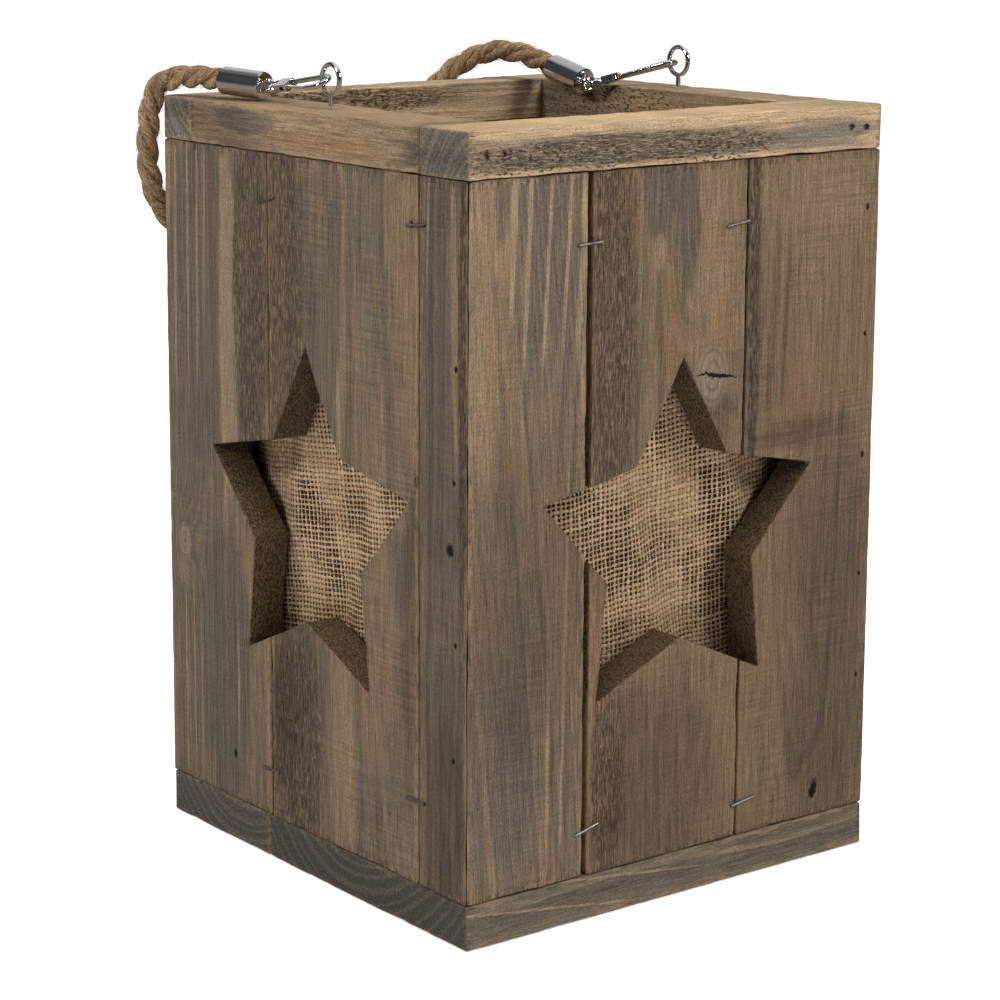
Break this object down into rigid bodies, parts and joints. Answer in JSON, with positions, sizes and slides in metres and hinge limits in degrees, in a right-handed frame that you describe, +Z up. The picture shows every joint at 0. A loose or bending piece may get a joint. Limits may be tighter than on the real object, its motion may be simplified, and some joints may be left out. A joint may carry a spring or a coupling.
{
  "type": "hanging lantern",
  "caption": "Square open-topped candle lantern of weathered boards with star cut-outs, loose cloth lining, lift-out glass and a rope handle on snap hooks.",
  "frame": {"origin": "centre of the square base, on the surface it stands on", "axes": "+Z up, +X to the right along the front wall, +Y from the front wall to the back wall"},
  "size_m": [0.2199, 0.2232, 0.3305],
  "materials": {
    "weathered_pine": "brown-grey stained rough-sawn pine, worn pale at the arrises",
    "base_pine": "grey-brown stained pine boards",
    "rim_pine": "grey-brown stained pine, worn",
    "batten_pine": "raw sawn pine",
    "burlap": "open plain-weave natural jute cloth",
    "jute_rope": "three-strand twisted jute",
    "chrome_fittings": "bright nickel-chrome plate",
    "staple_wire": "galvanised wire",
    "brad_steel": "dull steel",
    "clear_glass": "clear blown glass"
  },
  "bodies": {
    "box": {"base_front_board": "base_pine", "base_back_board": "base_pine", "base_brads": "brad_steel", "front_plank_1": "weathered_pine", "front_plank_2_upper": "weathered_pine", "front_plank_2_lower": "weathered_pine", "front_plank_3": "weathered_pine", "right_plank_1": "weathered_pine", "right_plank_2": "weathered_pine", "right_plank_3": "weathered_pine", "back_plank_1": "weathered_pine", "back_plank_2_upper": "weathered_pine", "back_plank_2_lower": "weathered_pine", "back_plank_3": "weathered_pine", "left_plank_1": "weathered_pine", "left_plank_2": "weathered_pine", "left_plank_3": "weathered_pine", "wall_staples_front": "staple_wire", "wall_staples_right": "staple_wire", "wall_staples_back": "staple_wire", "wall_staples_left": "staple_wire", "batten_front_low": "batten_pine", "batten_front_high": "batten_pine", "batten_right_low": "batten_pine", "batten_right_high": "batten_pine", "batten_back_low": "batten_pine", "batten_back_high": "batten_pine", "batten_left_low": "batten_pine", "batten_left_high": "batten_pine", "lining_front": "burlap", "lining_right": "burlap", "lining_back": "burlap", "lining_left": "burlap", "lining_staples": "staple_wire", "rim_front_rail": "rim_pine", "rim_back_rail": "rim_pine", "rim_left_rail": "rim_pine", "rim_right_rail": "rim_pine", "rim_brads": "brad_steel", "screw_eye_left": "chrome_fittings", "screw_eye_right": "chrome_fittings"},
    "handle": {"handle_rope": "jute_rope", "rope_cap_left": "chrome_fittings", "rope_cap_right": "chrome_fittings", "cap_loop_left": "chrome_fittings", "cap_loop_right": "chrome_fittings"},
    "hook_left_body": {"hook_left": "chrome_fittings", "gate_pin_left": "chrome_fittings"},
    "hook_right_body": {"hook_right": "chrome_fittings", "gate_pin_right": "chrome_fittings"},
    "gate_left": {"hook_gate_left": "chrome_fittings"},
    "gate_right": {"hook_gate_right": "chrome_fittings"},
    "glass": {"candle_glass": "clear_glass"}
  },
  "joints": [
    {"name": "handle_swing", "type": "hinge", "parent": "box", "child": "handle", "pos_m": [0, 0.005, 0.3235], "axis": [1, 0, 0], "range_deg": [0, 180]},
    {"name": "hook_left_swing", "type": "hinge", "parent": "box", "child": "hook_left_body", "pos_m": [0, 0.005, 0.3235], "axis": [1, 0, 0], "range_deg": [0, 180]},
    {"name": "hook_right_swing", "type": "hinge", "parent": "box", "child": "hook_right_body", "pos_m": [0, 0.005, 0.3235], "axis": [1, 0, 0], "range_deg": [0, 180]},
    {"name": "gate_left_press", "type": "hinge", "parent": "hook_left_body", "child": "gate_left", "pos_m": [-0.08967, 0.03607, 0.31883], "axis": [-0.5039, 0.11, 0.8567], "range_deg": [0, 14], "stiffness_Nm_per_rad": 0.002, "springref_deg": -11.46},
    {"name": "gate_right_press", "type": "hinge", "parent": "hook_right_body", "child": "gate_right", "pos_m": [0.07937, 0.03125, 0.31544], "axis": [-0.037, 0.285, 0.9578], "range_deg": [0, 14], "stiffness_Nm_per_rad": 0.002, "springref_deg": -11.46},
    {"name": "glass_lift", "type": "slide", "parent": "box", "child": "glass", "axis": [0, 0, 1], "range_m": [0, 0.3]}
  ],
  "couplings": [
    {"joint": "hook_left_swing", "follows": "handle_swing", "ratio": 1},
    {"joint": "hook_right_swing", "follows": "handle_swing", "ratio": 1}
  ]
}
